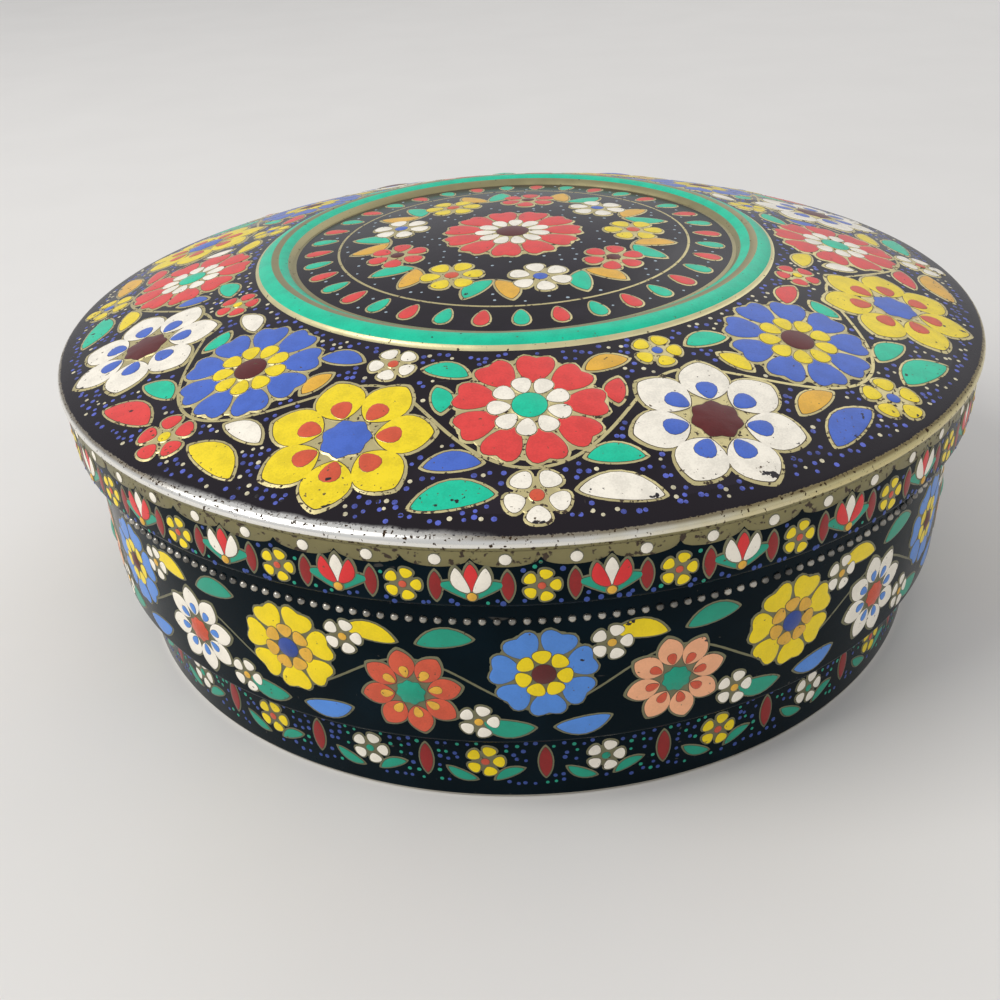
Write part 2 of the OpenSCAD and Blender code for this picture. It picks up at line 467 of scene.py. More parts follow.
def turned_shell(name, stretches, finishes, body, sharp=50):
    """A sheet turned round the axis, its thickness inside, from profile stretches of (finish, points)."""
    slots = list(finishes)
    bm = bmesh.new()
    for finish, points in stretches:
        part = bmesh.new()
        verts = [part.verts.new((r * MM, 0, z * MM)) for r, z in points]
        edges = [part.edges.new(pair) for pair in zip(verts, verts[1:])]
        bmesh.ops.spin(
            part,
            geom=verts + edges,
            cent=(0, 0, 0),
            axis=(0, 0, 1),
            angle=math.tau,
            steps=TURN_STEPS,
            use_merge=True,
        )
        for face in part.faces:
            face.material_index = slots.index(finish)
        add_mesh(bm, part)
    bmesh.ops.remove_doubles(bm, verts=bm.verts, dist=0.001 * MM)
    bmesh.ops.recalc_face_normals(bm, faces=bm.faces)
    piece = new_piece(name, bm, finishes.values(), body)
    piece.data.set_sharp_from_angle(angle=math.radians(sharp))
    wall = piece.modifiers.new("sheet", "SOLIDIFY")
    wall.thickness = SHEET * MM
    wall.offset = -1
    wall.use_even_offset = True
    wall.material_offset = len(slots)
    return piece


def arc(centre, radius, start, end, count):
    """Points (r, z) along an arc between two angles in degrees."""
    angles = (math.radians(start + (end - start) * i / count) for i in range(count + 1))
    return [(centre[0] + radius * math.cos(a), centre[1] + radius * math.sin(a)) for a in angles]


def lid_height(r):
    """Height of the lid's upper face at a radius."""
    if r <= RING_IN:
        return CROWN_Z - PANEL_ARC + math.sqrt(PANEL_ARC**2 - r**2)
    if r <= RING_OUT:
        return RING_FOOT_Z + RING_RISE - RING_ARC + math.sqrt(RING_ARC**2 - (r - RING_R) ** 2)
    return DOME_CENTRE_Z + math.sqrt(DOME_ARC**2 - (r - DOME_CENTRE_R) ** 2)


def lid_stretch(from_r, to_r, count):
    """Profile points over the lid's upper face."""
    radii = (from_r + (to_r - from_r) * i / count for i in range(count + 1))
    return [(r, lid_height(r)) for r in radii]


# Radii at which the lid's stripes change, from the centre outwards
INNER_BAND_R = RING_IN - 0.8
INNER_GREEN_R = RING_IN + 1.0
CREST_FROM_R = RING_R - 0.9
CREST_TO_R = RING_R + 0.7
OUTER_LINE_FROM_R = RING_OUT - 0.4
OUTER_LINE_TO_R = RING_OUT + 0.3
# How far the print sits off the pressing, towards the back
PRINT_SHIFT = 1.0
# Where the finish of the rim begins
RIM_WEAR_R = DOME_FROM_R - 4.0
# Where the rim bead meets the skirt, and the depth of the khaki band below the bead's centre
BEAD_FOOT_Z = RIM_Z - math.sqrt(RIM_BEND**2 - (SKIRT_R - RIM_R) ** 2)
BAND_H = 2.4


def slide_stripe(vert):
    """Slides a point of the raised ring over its section, most at the crest and not at all at the feet."""
    r = math.hypot(vert.co.x, vert.co.y) / MM
    off_crest = abs(r - RING_R) / RING_HALF
    if off_crest < 1:
        back = vert.co.y / (r * MM)
        slid = r + PRINT_SHIFT * back * (1 - off_crest**4)
        vert.co = (vert.co.x * slid / r, vert.co.y * slid / r, lid_height(slid) * MM)


def lid_shell():
    """The pressed lid, its stripes laid on as stretches of the profile."""
    band_z = RIM_Z - BAND_H
    hem_centre = (SKIRT_R - HEM_R, HEM_Z + HEM_R)
    hem_end_r = SKIRT_R - 2 * HEM_R
    stretches = [
        ("ground", lid_stretch(0, INNER_BAND_R, 26)),
        ("line", lid_stretch(INNER_BAND_R, RING_IN, 2)),
        ("line", lid_stretch(RING_IN, INNER_GREEN_R, 4)),
        ("green", lid_stretch(INNER_GREEN_R, CREST_FROM_R, 5)),
        ("line", lid_stretch(CREST_FROM_R, CREST_TO_R, 4)),
        ("green", lid_stretch(CREST_TO_R, OUTER_LINE_FROM_R, 5)),
        ("gold", lid_stretch(OUTER_LINE_FROM_R, RING_OUT, 2)),
        ("gold", lid_stretch(RING_OUT, OUTER_LINE_TO_R, 1)),
        ("ground", lid_stretch(OUTER_LINE_TO_R, RIM_WEAR_R, 24)),
        ("rim", lid_stretch(RIM_WEAR_R, DOME_FROM_R, 4)),
        ("rim", arc((RIM_R, RIM_Z), RIM_BEND, 90 - math.degrees(DOME_SLOPE), -60, 14)),
        ("khaki", [(SKIRT_R, BEAD_FOOT_Z), (SKIRT_R, band_z)]),
        ("skirt", [(SKIRT_R, band_z), (SKIRT_R, hem_centre[1])]),
        ("skirt", arc(hem_centre, HEM_R, 0, -60, 5)),
        ("tin", arc(hem_centre, HEM_R, -60, -180, 8)),
        ("tin", [(hem_end_r, hem_centre[1]), (hem_end_r, hem_centre[1] + HEM_R / 2)]),
    ]
    finishes = {
        "ground": LID_GROUND,
        "skirt": WALL_GROUND,
        "line": RING_LINE,
        "gold": RING_GOLD,
        "green": INKS["green"],
        "khaki": INKS["khaki"],
        "rim": RIM,
        "tin": TIN,
    }
    piece = turned_shell("lid_shell", stretches, finishes, "lid")
    for vert in piece.data.vertices:
        slide_stripe(vert)
    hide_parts("lid")


def wall_shell():
    """The rolled wall: curled mouth, straight wall, step, foot band and the hook of the rolled seam."""
    mouth_centre = (WALL_R - MOUTH_R, MOUTH_Z - MOUTH_R)
    curl_end_r = WALL_R - 2 * MOUTH_R
    hollow = STEP_BEND - SHEET
    stretches = [
        ("tin", [(curl_end_r, mouth_centre[1] - MOUTH_R / 2), (curl_end_r, mouth_centre[1])]),
        ("tin", arc(mouth_centre, MOUTH_R, 180, 20, 10)),
        ("ground", arc(mouth_centre, MOUTH_R, 20, 0, 2)),
        ("ground", [(WALL_R, mouth_centre[1]), (WALL_R, STEP_Z + STEP_BEND)]),
        ("ground", arc((WALL_R - STEP_BEND, STEP_Z + STEP_BEND), STEP_BEND, 0, -90, 6)),
        ("ground", [(WALL_R - STEP_BEND, STEP_Z), (FOOT_R + hollow, STEP_Z)]),
        ("ground", arc((FOOT_R + hollow, STEP_Z - hollow), hollow, 90, 180, 5)),
        ("ground", [(FOOT_R, STEP_Z - hollow), (FOOT_R, FOOT_BEND)]),
        ("tin", arc((FOOT_R - FOOT_BEND, FOOT_BEND), FOOT_BEND, 0, -90, 6)),
        ("tin", [(FOOT_R - FOOT_BEND, 0), (HOOK_R + FOOT_BEND, 0)]),
        ("tin", arc((HOOK_R + FOOT_BEND, FOOT_BEND), FOOT_BEND, -90, -180, 6)),
        ("tin", [(HOOK_R, FOOT_BEND), (HOOK_R, HOOK_Z)]),
    ]
    finishes = {"ground": WALL_GROUND, "tin": TIN}
    piece = turned_shell("wall_shell", stretches, finishes, "tin")
    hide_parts("wall")


def base_shell():
    """The pressed base, turned from its upper face down to the flange over the hook."""
    top = BASE_Z + BASE_STEP_H + SHEET
    channel = BASE_Z + SHEET
    fold = HOOK_Z + SHEET
    ramp_r = BASE_STEP_R + BASE_STEP_H
    leg_r = HOOK_R - FOLD_GAP - SHEET
    rings = 12
    stretches = [
        ("tin", [(BASE_STEP_R * i / rings, top) for i in range(rings + 1)]),
        ("tin", [(BASE_STEP_R, top), (ramp_r, channel)]),
        ("tin", [(ramp_r, channel), (leg_r, channel)]),
        ("tin", [(leg_r, channel), (leg_r, fold)]),
        ("tin", [(leg_r, fold), (FLANGE_R, fold)]),
        ("tin", [(FLANGE_R, fold), (FLANGE_R, BASE_Z)]),
    ]
    piece = turned_shell("base_shell", stretches, {"tin": TIN}, "tin", sharp=30)
    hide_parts("base")


def bead_row():
    """The row of small domes pressed out of the wall just below the lid."""
    bead = bmesh.new()
    bmesh.ops.create_uvsphere(bead, u_segments=10, v_segments=6, radius=BEAD_D / 2 * MM)
    buried = (BEAD_D / 2 - BEAD_RISE - SINK) * MM
    bmesh.ops.bisect_plane(
        bead,
        geom=bead.verts[:] + bead.edges[:] + bead.faces[:],
        plane_co=(0, 0, buried),
        plane_no=(0, 0, 1),
        clear_inner=True,
    )
    one = bpy.data.meshes.new("bead")
    bead.to_mesh(one)
    bead.free()
    row = bmesh.new()
    centre_r = (WALL_R + BEAD_RISE - BEAD_D / 2) * MM
    for i in range(BEAD_COUNT):
        dome = one.copy()
        dome.transform(
            Matrix.Rotation(math.tau * i / BEAD_COUNT, 4, "Z")
            @ Matrix.Translation((centre_r, 0, BEAD_Z * MM))
            @ Matrix.Rotation(math.pi / 2, 4, "Y")
        )
        row.from_mesh(dome)
        bpy.data.meshes.remove(dome)
    bpy.data.meshes.remove(one)
    new_piece("bead_row", row, [PEWTER], "tin")


# The print is drawn flat in millimetres, as on the printed blank, and then pressed or rolled to shape.
# An outline is a function of the turn round the shape and of an inset, which gives the line its width.


def leaf(length, width, bend=0.0):
    """Outline of a leaf with a point at both ends, its stalk at the origin."""

    def at(turn, inset=0.0):
        along = (1 - math.cos(turn)) / 2
        across = math.sin(turn) * math.sqrt(abs(math.sin(turn)))
        tip = TIP_LINE * inset
        sway = 4 * bend * along * (1 - along)
        return tip + (length - 2 * tip) * along, (width / 2 - inset) * across + sway

    return at


def round_petal(length, width, waist=0.5):
    """Outline of a petal with a narrow foot at the origin and a round end."""

    def at(turn, inset=0.0):
        along = (1 - math.cos(turn)) / 2
        swell = 1.25 * math.sin(turn) * (waist + (1 - waist) * along)
        return inset + (length - 2 * inset) * along, (width / 2 - inset) * swell

    return at


def heart_petal(length, width, notch=0.16):
    """Outline of a petal with a notched end."""
    rounded = round_petal(length, width)

    def at(turn, inset=0.0):
        x, y = rounded(turn, inset)
        dip = max(0.0, 1 - abs(y) / (0.32 * width)) * max(0.0, 2 * x / length - 1)
        return x - notch * length * dip, y

    return at


def disc(radius, lobes=0, depth=0.0):
    """Outline of a disc, scalloped if it has lobes."""

    def at(turn, inset=0.0):
        r = (radius - inset) * (1 + depth * math.cos(lobes * turn))
        return r * math.cos(turn), r * math.sin(turn)

    return at


def draw(bm, outline, ink, at=(0, 0), turn=0.0, layer=0, points=20, dome=0.06, line=LINE_W):
    """One printed shape: a raised gold outline, a narrow dark ring of painted shade at the fill's edge, and
    a fill that swells inside it.
    """
    shares = ROUND_SHARES if dome > FLAT_DOME else FLAT_SHARES
    # The dark ring next to the gold is painted shade, except on gold shapes
    edge = ink if ink == "gold_line" else "edge_shade"
    start = bmesh.ops.create_circle(bm, cap_ends=True, segments=points, radius=1)["verts"]
    fill = start[0].link_faces[0]
    fill.normal_update()
    if fill.normal.z < 0:
        fill.normal_flip()
    bands = ["gold_line", edge] + [ink] * (len(shares) - 1) if line else []
    faces = []
    for band in bands:
        ring = bmesh.ops.inset_region(
            bm, faces=[fill], thickness=RING_STEP, use_boundary=True, use_even_offset=True
        )["faces"]
        for face in ring:
            face.material_index = INK_SLOTS[band]
        faces += ring
    fill.material_index = INK_SLOTS[ink]
    faces += bmesh.ops.poke(bm, faces=[fill], center_mode="MEAN")["faces"]
    place = Matrix.Translation((*at, 0)) @ Matrix.Rotation(turn, 4, "Z")
    around = (Vector(outline(math.tau * i / points)) for i in range(points))
    middle = sum(around, Vector((0, 0))) / points
    level = LAYER * layer + LINE_RISE
    for vert in {vert for face in faces for vert in face.verts}:
        step = round((1 - vert.co.xy.length) / RING_STEP)
        angle = math.atan2(vert.co.y, vert.co.x)
        if step == 0:
            spot, height = Vector(outline(angle)), -SINK
        elif step == 1:
            spot, height = Vector(outline(angle, GOLD_SHARE * line)), level
        else:
            share = shares[step - 2] if step - 2 < len(shares) else 0.0
            spot = middle.lerp(Vector(outline(angle, line)), share)
            height = level + EDGE_RISE + dome * (1 - share**2)
        vert.co = place @ Vector((*spot, height))


def petals(bm, count, outline, ink, start, turn=0.0, **shape):
    """A ring of petals round the origin, each with its foot at a start radius."""
    for i in range(count):
        angle = turn + math.tau * i / count
        draw(bm, outline, ink, (start * math.cos(angle), start * math.sin(angle)), angle, **shape)


def backing(bm, outline, points):
    """Gold laid under a flower, which shows between its petals."""
    draw(bm, outline, "gold_line", layer=0, points=points, dome=0.02, line=0.3)


def motif(drawing):
    """Draws a motif once, and keeps it as a mesh to be placed many times."""
    bm = bmesh.new()
    drawing(bm)
    mesh = bpy.data.meshes.new("motif")
    bm.to_mesh(mesh)
    bm.free()
    return mesh


def rosette(radius, outer, inner, eye, count=9, pen=LINE_W, swell=EYE_RISE):
    """Notched petals round a ring of short round ones and a domed eye."""

    def drawing(bm):
        backing(bm, disc(radius * 0.9, count, 0.04), 5 * count)
        long = heart_petal(radius * 0.64, math.tau * radius * 0.8 / count)
        petals(bm, count, long, outer, radius * 0.36, layer=1, points=24, line=pen)
        short = round_petal(radius * 0.36, math.tau * radius * 0.46 / count)
        petals(bm, count, short, inner, radius * 0.18, math.pi / count, layer=2, points=16, line=pen)
        eye_r = radius * 0.25
        draw(bm, disc(eye_r), eye, layer=3, points=20, dome=swell * eye_r, line=pen)

    return motif(drawing)


def star_daisy(radius, outer, inner, eye, count=7, pen=LINE_W, swell=EYE_RISE):
    """Broad pointed petals, each with a drop of a second colour, round a scalloped eye."""

    def drawing(bm):
        backing(bm, disc(radius * 0.66, count, 0.05), 5 * count)
        width = math.tau * radius * 0.7 / count
        petals(bm, count, leaf(radius * 0.76, width), outer, radius * 0.24, layer=1, points=26, line=pen)
        drop = round_petal(radius * 0.32, width * 0.45)
        petals(bm, count, drop, inner, radius * 0.3, layer=2, points=14, line=0.35)
        eye_r = radius * 0.3
        eye_line = disc(eye_r, count, 0.08)
        draw(bm, eye_line, eye, layer=3, points=4 * count, dome=swell * eye_r, line=pen)

    return motif(drawing)


def blossom(radius, ink, eye, count=5, pen=LINE_W):
    """A small flower of round petals."""

    def drawing(bm):
        backing(bm, disc(radius * 0.7, count, 0.06), 5 * count)
        width = math.tau * radius * 0.68 / count
        petal = round_petal(radius * 0.76, width)
        petals(bm, count, petal, ink, radius * 0.24, layer=1, points=18, line=pen)
        draw(bm, disc(radius * 0.27), eye, layer=2, points=16, dome=0.12, line=0.7 * pen)

    return motif(drawing)


def single_leaf(length, width, ink, bend=0.0, pen=LINE_W):
    """A leaf by itself."""

    def drawing(bm):
        draw(bm, leaf(length, width, bend), ink, points=24, line=pen)

    return motif(drawing)


def leaf_pair(length, width, bend, inks, pen=LINE_W):
    """Two leaves that sway to either side."""
    return [single_leaf(length, width, ink, bend * side, pen) for ink, side in zip(inks, (-1, 1))]


def tulip(height, cup, tongue, blade, pen=LINE_W):
    """A flower from the side: two outer petals, a tongue between them, and a pair of blades below."""

    def drawing(bm):
        foot = (height * 0.2, 0)
        for side in (-1, 1):
            outline = leaf(height * 0.8, height * 0.34, -side * height * 0.1)
            draw(bm, outline, blade, (height * 0.1, 0), side * 1.05, points=20, line=pen)
        draw(bm, leaf(height * 0.8, height * 0.36), tongue, foot, layer=1, points=18, line=pen)
        for side in (-1, 1):
            outline = leaf(height * 0.78, height * 0.36, side * height * 0.08)
            draw(bm, outline, cup, foot, side * 0.42, layer=2, points=20, line=pen)
        draw(bm, disc(height * 0.14), "amber", foot, layer=3, points=14, dome=0.2, line=pen)

    return motif(drawing)


def drop_petal(length, width, ink):
    """A drop by itself."""

    def drawing(bm):
        draw(bm, round_petal(length, width), ink, points=18)

    return motif(drawing)


def berry(radius, ink):
    """A round berry."""

    def drawing(bm):
        draw(bm, disc(radius), ink, layer=1, points=12, dome=0.15, line=0.3)

    return motif(drawing)


def dot(radius, ink):
    """A plain dot of ink without an outline."""

    def drawing(bm):
        draw(bm, disc(radius), ink, points=8, dome=0.02, line=0)

    return motif(drawing)


class Print:
    """A flat sheet of print in millimetres."""

    def __init__(self):
        self.bm = bmesh.new()

    def place(self, mesh, x, y, turn=0.0, size=1.0):
        """Lays a motif on the sheet."""
        copy = mesh.copy()
        scale = Matrix.Diagonal((size, size, 1, 1))
        copy.transform(Matrix.Translation((x, y, 0)) @ Matrix.Rotation(turn, 4, "Z") @ scale)
        self.bm.from_mesh(copy)
        bpy.data.meshes.remove(copy)

    def place_round(self, mesh, radius, angle, turn=0.0, size=1.0):
        """Lays a motif at a radius and angle, turned from the outward direction."""
        self.place(mesh, radius * math.cos(angle), radius * math.sin(angle), angle + turn, size)

    def ribbon(self, path, width, steps, ink="gold_line", rise=LINE_RISE):
        """A raised line along a path given for 0 to 1."""
        grid = bmesh.ops.create_grid(self.bm, x_segments=steps, y_segments=2, size=1)["verts"]
        for vert in grid:
            t = (vert.co.x + 1) / 2
            here, ahead, behind = (Vector(path(s)) for s in (t, t + 0.5 / steps, t - 0.5 / steps))
            way = (ahead - behind).normalized()
            across = vert.co.y * width / 2
            height = rise if abs(vert.co.y) < 0.5 else -SINK
            vert.co = (here.x - way.y * across, here.y + way.x * across, height)
        for face in {face for vert in grid for face in vert.link_faces}:
            face.material_index = INK_SLOTS[ink]

    def scallops(self, around, top, foot, depth, count):
        """A khaki band whose lower edge hangs in half-round scallops."""
        steps = 16 * count
        lip = 0.1
        grid = bmesh.ops.create_grid(self.bm, x_segments=steps, y_segments=2, size=1)["verts"]
        for vert in grid:
            share = (vert.co.x + 1) / 2 * count
            hang = depth * math.sqrt(max(0.0, 1 - (2 * (share % 1) - 1) ** 2))
            row = round(vert.co.y)
            height = (foot - hang - lip, foot - hang, top)[row + 1]
            vert.co = (vert.co.x * around / 2, height, -SINK if row < 0 else LINE_RISE)
        for face in {face for vert in grid for face in vert.link_faces}:
            face.material_index = INK_SLOTS["khaki"]

    def scatter(self, marks, clear, seed, spots, *spread):
        """Strews dots over those spots of a spread that lie clear of what is already printed."""
        draws = random.Random(seed)
        printed = BVHTree.FromBMesh(self.bm)
        for x, y in spots(draws, *spread):
            mark = draws.choice(marks)
            size = draws.uniform(0.75, 1.1)
            if printed.find_nearest((x, y, 0))[3] > clear:
                self.place(mark, x, y, size=size)

    def finish(self, name, form, body, record_slot, inks):
        """Presses the sheet to shape and makes it a piece."""
        for vert in self.bm.verts:
            vert.co = form(*vert.co) * MM
        return new_piece(name, self.bm, inks.values(), body)


def pressed(x, y, height):
    """Where a point of the lid's flat blank lies on the pressed lid."""
    r = math.hypot(x, y)
    near = 0.05
    slope = (lid_height(r + near) - lid_height(max(r - near, 0))) / (2 * near)
    steep = math.hypot(1, slope)
    reach = (r - height * slope / steep) / max(r, 1e-6)
    return Vector((x * reach, y * reach, lid_height(r) + height / steep))


def rolled(radius):
    """A form that rolls a strip round the axis, its middle at the front and its lower edge at the table."""

    def form(u, v, height):
        angle = u / radius - math.pi / 2
        return Vector(((radius + height) * math.cos(angle), (radius + height) * math.sin(angle), v))

    return form


# Lid print: a vine that waves round the dome, with a large flower in each of its hollows
LID_REPEATS = 8
VINE_R = 77.0
VINE_SWING = 9.0
VINE_W = 0.8
LEAF_INKS = [("amber", "green"), ("red", "yellow"), ("green", "cream"), ("blue", "green")]
# Radii of its flowers and blossoms, from the rim inwards
RIM_BLOSSOM_R = 91.7
OUTER_FLOWER_R = 81.6
INNER_FLOWER_R = 71.8
RING_BLOSSOM_R = 62.0
# Its pairs of leaves, from the rim inwards: length, width and bend of a leaf
LONG_LEAF = (15.5, 6.8, 1.3)
VINE_LEAF = (11.5, 5.4, 0.9)
SHORT_LEAF = (8.6, 4.8, 0.6)
LOW_LEAF = (10.4, 5.2, 0.8)
# Dots: their spacing, how clear they lie of other print, and the radii between which they are strewn
DOME_PITCH = 1.7
DOME_CLEAR = 0.62
DOME_DOTS_R = (OUTER_LINE_TO_R + 1.0, 97.0)
PANEL_PITCH = 3.4
PANEL_CLEAR = 1.0
PANEL_DOTS_R = (0, 46.0)
# Centre panel: count and radius of its wreath's flowers, radius of their leaves, the circle and the drops
WREATH = 9
WREATH_R = 26.6
WREATH_LEAF_R = 26.4
CIRCLE_R = 38.4
CIRCLE_W = 0.7
DROPS = 4 * WREATH
DROP_R = 39.6


def circle(radius):
    """Path of a circle round the axis."""

    def path(t):
        return radius * math.cos(math.tau * t), radius * math.sin(math.tau * t)

    return path


def vine(t):
    """Path of the lid's vine."""
    radius = VINE_R + VINE_SWING * math.cos(LID_REPEATS * math.tau * t)
    return circle(radius)(t)


def lid_print():
    """The printed flowers, leaves, vine and dots of the dome and the centre panel."""
    sheet = Print()
    sheet.ribbon(vine, VINE_W, 480)
    inner_inks = (("red", "cream", "green"), ("blue", "yellow", "maroon"))
    inner_flowers = [rosette(14.6, *inks) for inks in inner_inks]
    outer_inks = (("cream", "blue", "maroon"), ("yellow", "coral", "blue"))
    outer_flowers = [star_daisy(16.0, *inks) for inks in outer_inks]
    small_inks = (("cream", "coral"), ("yellow", "blue"), ("red", "yellow"))
    small = [blossom(6.0, *inks) for inks in small_inks]
    long_leaves, vine_leaves, low_leaves, short_leaves = (
        [leaf_pair(*size, inks) for inks in LEAF_INKS]
        for size in (LONG_LEAF, VINE_LEAF, LOW_LEAF, SHORT_LEAF)
    )
    step = math.tau / LID_REPEATS
    for i in range(LID_REPEATS):
        crest = i * step
        hollow = crest + step / 2
        sheet.place_round(inner_flowers[i % 2], INNER_FLOWER_R, crest, 0.2)
        sheet.place_round(outer_flowers[i % 2], OUTER_FLOWER_R, hollow, 0.1)
        sheet.place_round(small[i % 3], RIM_BLOSSOM_R, crest)
        sheet.place_round(small[(i + 1) % 3], RING_BLOSSOM_R, hollow, size=0.82)
        # Pairs of leaves: radius of their stalks, middle, share of a step to either side, and turn
        pairs = (
            (long_leaves[i % 4], 91.0, crest, 0.08, 1.42),
            (vine_leaves[(i + 1) % 4], 84.6, crest, 0.115, 1.5),
            (low_leaves[(i + 2) % 4], 62.4, hollow, 0.105, 1.5),
            (short_leaves[(i + 3) % 4], 66.2, hollow, 0.19, 0.35),
        )
        for n, side in enumerate((-1, 1)):
            for pair, radius, middle, aside, turn in pairs:
                sheet.place_round(pair[n], radius, middle + side * aside * step, side * turn)
    panel_print(sheet)
    blue, pale, mist = dot(0.55, "dot_blue"), dot(0.48, "dot_pale"), dot(0.4, "mist")
    sheet.scatter([blue, blue, blue, pale], DOME_CLEAR, 5, strewn, DOME_PITCH, *DOME_DOTS_R)
    sheet.scatter([mist], PANEL_CLEAR, 8, strewn, PANEL_PITCH, *PANEL_DOTS_R)
    sheet.finish("lid_flowers", pressed, "lid", "lid_print", INKS)


# Dots on the sides: their spacing, how clear they lie of other print, and how far they stray
SKIRT_PITCH = 1.5
SKIRT_CLEAR = 0.55
FOOT_PITCH = 1.8
FOOT_CLEAR = 0.65
STRIP_JITTER = 0.5


def spaced(low, high, pitch):
    """Evenly spaced numbers from low to high."""
    count = round((high - low) / pitch)
    return [low + (high - low) * i / count for i in range(count + 1)]


def strewn(draws, pitch, from_r, to_r):
    """Spots strewn over a ring of the lid's blank."""
    jitter = 0.3 * pitch
    return [
        (x + draws.uniform(-jitter, jitter), y + draws.uniform(-jitter, jitter))
        for x in spaced(-to_r, to_r, pitch)
        for y in spaced(-to_r, to_r, pitch)
        if from_r < math.hypot(x, y) < to_r
    ]


def strewn_strip(draws, pitch, around, low, high):
    """Spots strewn over a strip that goes round the sides."""
    return [
        (u + draws.uniform(-STRIP_JITTER, STRIP_JITTER), v + draws.uniform(-STRIP_JITTER, STRIP_JITTER))
        for u in spaced(-around / 2, around / 2, pitch)
        for v in spaced(low, high, pitch)
    ]


def panel_print(sheet):
    """The centre panel: a rosette, a wreath of leaves and small flowers, and a ring of drops."""
    sheet.place(rosette(16.5, "red", "cream", "maroon", 11), 0, 0)
    flower_inks = (("yellow", "coral"), ("cream", "blue"), ("red", "maroon"))
    flowers = [blossom(7.0, *inks, 6) for inks in flower_inks]
    leaves = leaf_pair(11.0, 5.4, 0.9, ("green", "amber"))
    drops = [drop_petal(6.8, 4.3, ink) for ink in ("red", "green")]
    for i in range(WREATH):
        angle = math.tau * i / WREATH
        sheet.place_round(flowers[i % 3], WREATH_R, angle)
        for n, side in enumerate((-1, 1)):
            sheet.place_round(leaves[n], WREATH_LEAF_R, angle + math.pi / WREATH, side * 0.5)
    sheet.ribbon(circle(CIRCLE_R), CIRCLE_W, 240)
    for i in range(DROPS):
        sheet.place_round(drops[i % 2], DROP_R, math.tau * i / DROPS)


def skirt_print():
    """The lid's skirt: the wavy edge of the khaki band, with tulips and blossoms under it by turns."""
    sheet = Print()
    around = math.tau * SKIRT_R
    repeats = 28
    pitch = around / repeats
    pen = SIDE_LINE_W
    flowers = [tulip(8.6, "red", "cream", "green", pen), tulip(8.6, "cream", "red", "green", pen)]
    small = blossom(3.5, "yellow", "coral", pen=pen)
    drop = single_leaf(6.8, 2.8, "dark_red", pen=pen)
    bead = berry(1.3, "cream")
    tulip_z = HEM_Z + 0.9
    small_z = tulip_z + 3.6
    drop_z = tulip_z + 0.2
    drop_aside = 0.24 * pitch
    band_z = RIM_Z - BAND_H
    bead_z = band_z - 0.4
    sheet.scallops(around, BEAD_FOOT_Z + 0.1, band_z, 1.8, 2 * repeats)
    for i in range(repeats):
        u = (i + 0.5) * pitch - around / 2
        sheet.place(flowers[i % 2], u, tulip_z, math.pi / 2)
        sheet.place(small, u + pitch / 2, small_z)
        for side in (-1, 1):
            sheet.place(drop, u + pitch / 2 + side * drop_aside, drop_z, math.pi / 2)
            sheet.place(bead, u + side * pitch / 4, bead_z)
    blue, green = dot(0.5, "blue"), dot(0.45, "green")
    dots_z = (HEM_Z + 1.3, band_z - 0.8)
    marks = [blue, blue, blue, green]
    sheet.scatter(marks, SKIRT_CLEAR, 6, strewn_strip, SKIRT_PITCH, around, *dots_z)
    sheet.finish("skirt_flowers", rolled(SKIRT_R), "lid", "lid_print", SIDE_INKS)


def wall_print():
    """The wall: a running vine with a rosette on each crest and a daisy in each hollow."""
    sheet = Print()
    around = math.tau * WALL_R
    repeats = 13
    pitch = around / repeats
    middle = 30.6
    swing = 5.0

    def wave(t):
        return (t - 0.5) * around, middle + swing * math.cos(math.tau * repeats * t)

    sheet.ribbon(wave, 0.55, 560)
    pen, swell = SIDE_LINE_W, SIDE_EYE_RISE
    crests = [
        rosette(10.0, "sky", "yellow", "maroon", 7, pen, swell),
        rosette(10.0, "yellow", "amber", "blue", 7, pen, swell),
    ]
    hollows = [
        star_daisy(9.8, "salmon", "coral", "green", 8, pen, swell),
        star_daisy(9.8, "cream", "sky", "coral", 8, pen, swell),
        star_daisy(9.8, "coral", "amber", "green", 8, pen, swell),
    ]
    low_leaves = leaf_pair(11.0, 4.6, -0.9, ("green", "sky"), pen)
    high_leaves = leaf_pair(11.0, 4.6, 0.9, ("yellow", "green"), pen)
    small = blossom(4.0, "cream", "amber", pen=pen)
    crest_z, hollow_z = middle + 2.6, middle - 2.2
    low_leaf_z, high_leaf_z = middle - 9.6, middle + 8.4
    small_off = 8.0
    apart, lean = 1.2, 1.42
    for i in range(repeats):
        u = i * pitch - around / 2
        sheet.place(crests[i % 2], u + pitch / 2, crest_z, 0.3)
        sheet.place(hollows[i % 3], u + pitch, hollow_z, 0.2)
        for n, side in enumerate((-1, 1)):
            turn = math.pi / 2 - side * lean
            sheet.place(low_leaves[n], u + pitch / 2 + side * apart, low_leaf_z, turn)
            sheet.place(high_leaves[n], u + pitch + side * apart, high_leaf_z, turn)
            sheet.place(small, u + (0.5 + 0.25 * side) * pitch, middle + side * small_off)
    sheet.finish("wall_flowers", rolled(WALL_R), "tin", "wall_print", SIDE_INKS)


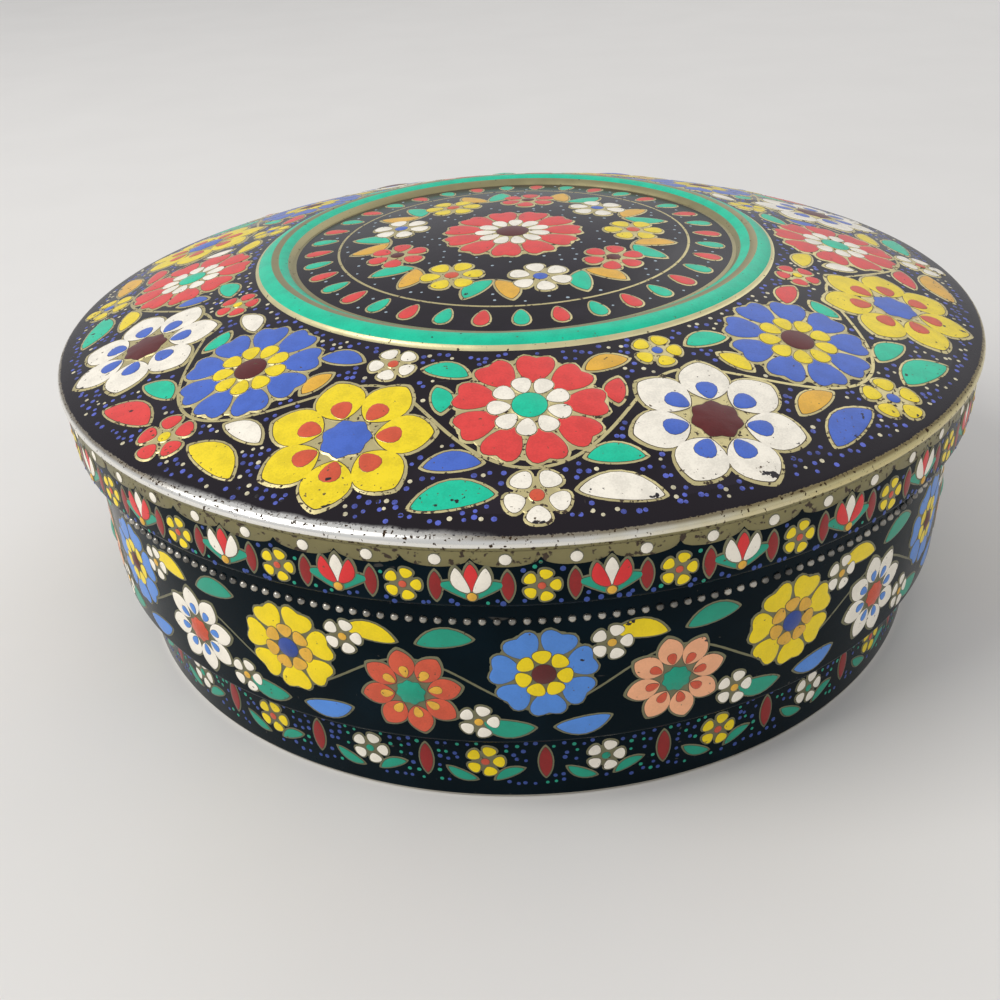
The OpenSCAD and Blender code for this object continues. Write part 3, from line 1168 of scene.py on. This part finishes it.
def foot_print():
    """The foot band: a border of leaf pairs, drops and small blossoms."""
    sheet = Print()
    around = math.tau * FOOT_R
    repeats = 26
    pitch = around / repeats
    pen = SIDE_LINE_W
    flowers = [blossom(4.0, "yellow", "coral", pen=pen), blossom(4.0, "cream", "green", pen=pen)]
    drop = single_leaf(8.6, 3.2, "dark_red", pen=pen)
    blade = single_leaf(7.2, 2.8, "green", 0.5, pen)
    flower_z, drop_z, blade_z = 9.2, 4.6, 4.4
    apart, lean = 1.2, 1.1
    for i in range(repeats):
        u = (i + 0.5) * pitch - around / 2
        sheet.place(flowers[i % 2], u, flower_z)
        sheet.place(drop, u + pitch / 2, drop_z, math.pi / 2)
        for side in (-1, 1):
            sheet.place(blade, u + side * apart, blade_z, math.pi / 2 - side * lean)
    blue, green = dot(0.5, "blue"), dot(0.45, "green")
    dots_z = (4.0, STEP_Z - 2.4)
    sheet.scatter([blue, blue, green], FOOT_CLEAR, 7, strewn_strip, FOOT_PITCH, around, *dots_z)
    sheet.finish("foot_flowers", rolled(FOOT_R), "tin", "wall_print", SIDE_INKS)


def side_seam():
    """The folded seam: a flat strip inside the wall at the back."""
    bm = bmesh.new()
    bmesh.ops.create_cube(bm, size=1)
    low, high = STEP_Z + STEP_BEND, MOUTH_Z - 3 * MOUTH_R
    middle = Vector((0, WALL_R - SHEET - SEAM_T / 2, (low + high) / 2))
    bmesh.ops.scale(bm, verts=bm.verts, vec=Vector((SEAM_W, SEAM_T, high - low)) * MM)
    bmesh.ops.translate(bm, verts=bm.verts, vec=middle * MM)
    bmesh.ops.bevel(
        bm,
        geom=bm.edges[:],
        offset=SEAM_ROUND * MM,
        offset_type="OFFSET",
        affect="EDGES",
        segments=3,
        profile=0.5,
        material=-1,
    )
    new_piece("side_seam", bm, [TIN], "tin")


def studio():
    """Pale floor, soft lamps and an even sky."""
    bm = bmesh.new()
    bmesh.ops.create_grid(bm, x_segments=2, y_segments=2, size=6)
    mesh = bpy.data.meshes.new("floor")
    bm.to_mesh(mesh)
    bm.free()
    finish = Finish("pale_floor")
    pale = finish.blend(finish.noise(60, detail=3), colour("#e2dfda"), colour("#e8e5e0"))
    finish.set(base_color=pale, roughness=0.75)
    mesh.materials.append(finish.material)
    floor = bpy.data.objects.new("floor", mesh)
    bpy.context.collection.objects.link(floor)
    for name, at, size, power in (
        ("key_lamp", (-0.87, -0.32, 0.95), 0.7, 9),
        ("back_lamp", (0.6, 0.9, 0.9), 0.9, 1.5),
    ):
        lamp = bpy.data.lights.new(name, "AREA")
        lamp.size = size
        lamp.energy = power
        holder = bpy.data.objects.new(name, lamp)
        holder.location = at
        holder.rotation_euler = (Vector((0, 0, 0.05)) - Vector(at)).to_track_quat("-Z", "Y").to_euler()
        bpy.context.collection.objects.link(holder)
    world = bpy.data.worlds.new("soft_sky")
    world.use_nodes = True
    sky = world.node_tree.nodes["Background"]
    sky.inputs["Color"].default_value = (0.86, 0.87, 0.9, 1)
    sky.inputs["Strength"].default_value = 0.7
    bpy.context.scene.world = world
    bpy.context.scene.view_settings.view_transform = "Standard"


# Camera, solved from the rims and outlines of the photograph
CAMERA_AT = (-5.88, -247.29, RIM_Z + 97.4)
CAMERA_PITCH = 31.087
CAMERA_ROLL = -3.023
CAMERA_LENS = 41.4


def photo_camera():
    """A camera where the photograph was taken from."""
    camera = bpy.data.cameras.new("photo_camera")
    camera.lens = CAMERA_LENS
    camera.clip_start = 0.01
    holder = bpy.data.objects.new("photo_camera", camera)
    holder.matrix_world = (
        Matrix.Translation(Vector(CAMERA_AT) * MM)
        @ Matrix.Rotation(math.radians(90 - CAMERA_PITCH), 4, "X")
        @ Matrix.Rotation(math.radians(CAMERA_ROLL), 4, "Z")
    )
    bpy.context.collection.objects.link(holder)
    bpy.context.scene.camera = holder


LID_GROUND = lacquer_ground("lid_ground", LID_DARK, "#28222a", LID_GLOSS)
WALL_GROUND = lacquer_ground("wall_ground", "#011017", "#03161f", 0.05)
RING_LINE = gold_lacquer("ring_line", "#a79e76", 0.9, 0.68)
RING_GOLD = gold_lacquer("ring_gold", "#eadfac", 0.9, 0.65)
RIM = worn_rim("worn_rim", LID_DARK)
TIN = bare_tin("bare_tin", "#c4c0b4")
PEWTER = pewter("pewter")

lid_shell()
wall_shell()
base_shell()
bead_row()
side_seam()
lid_print()
skirt_print()
wall_print()
foot_print()
studio()
photo_camera()
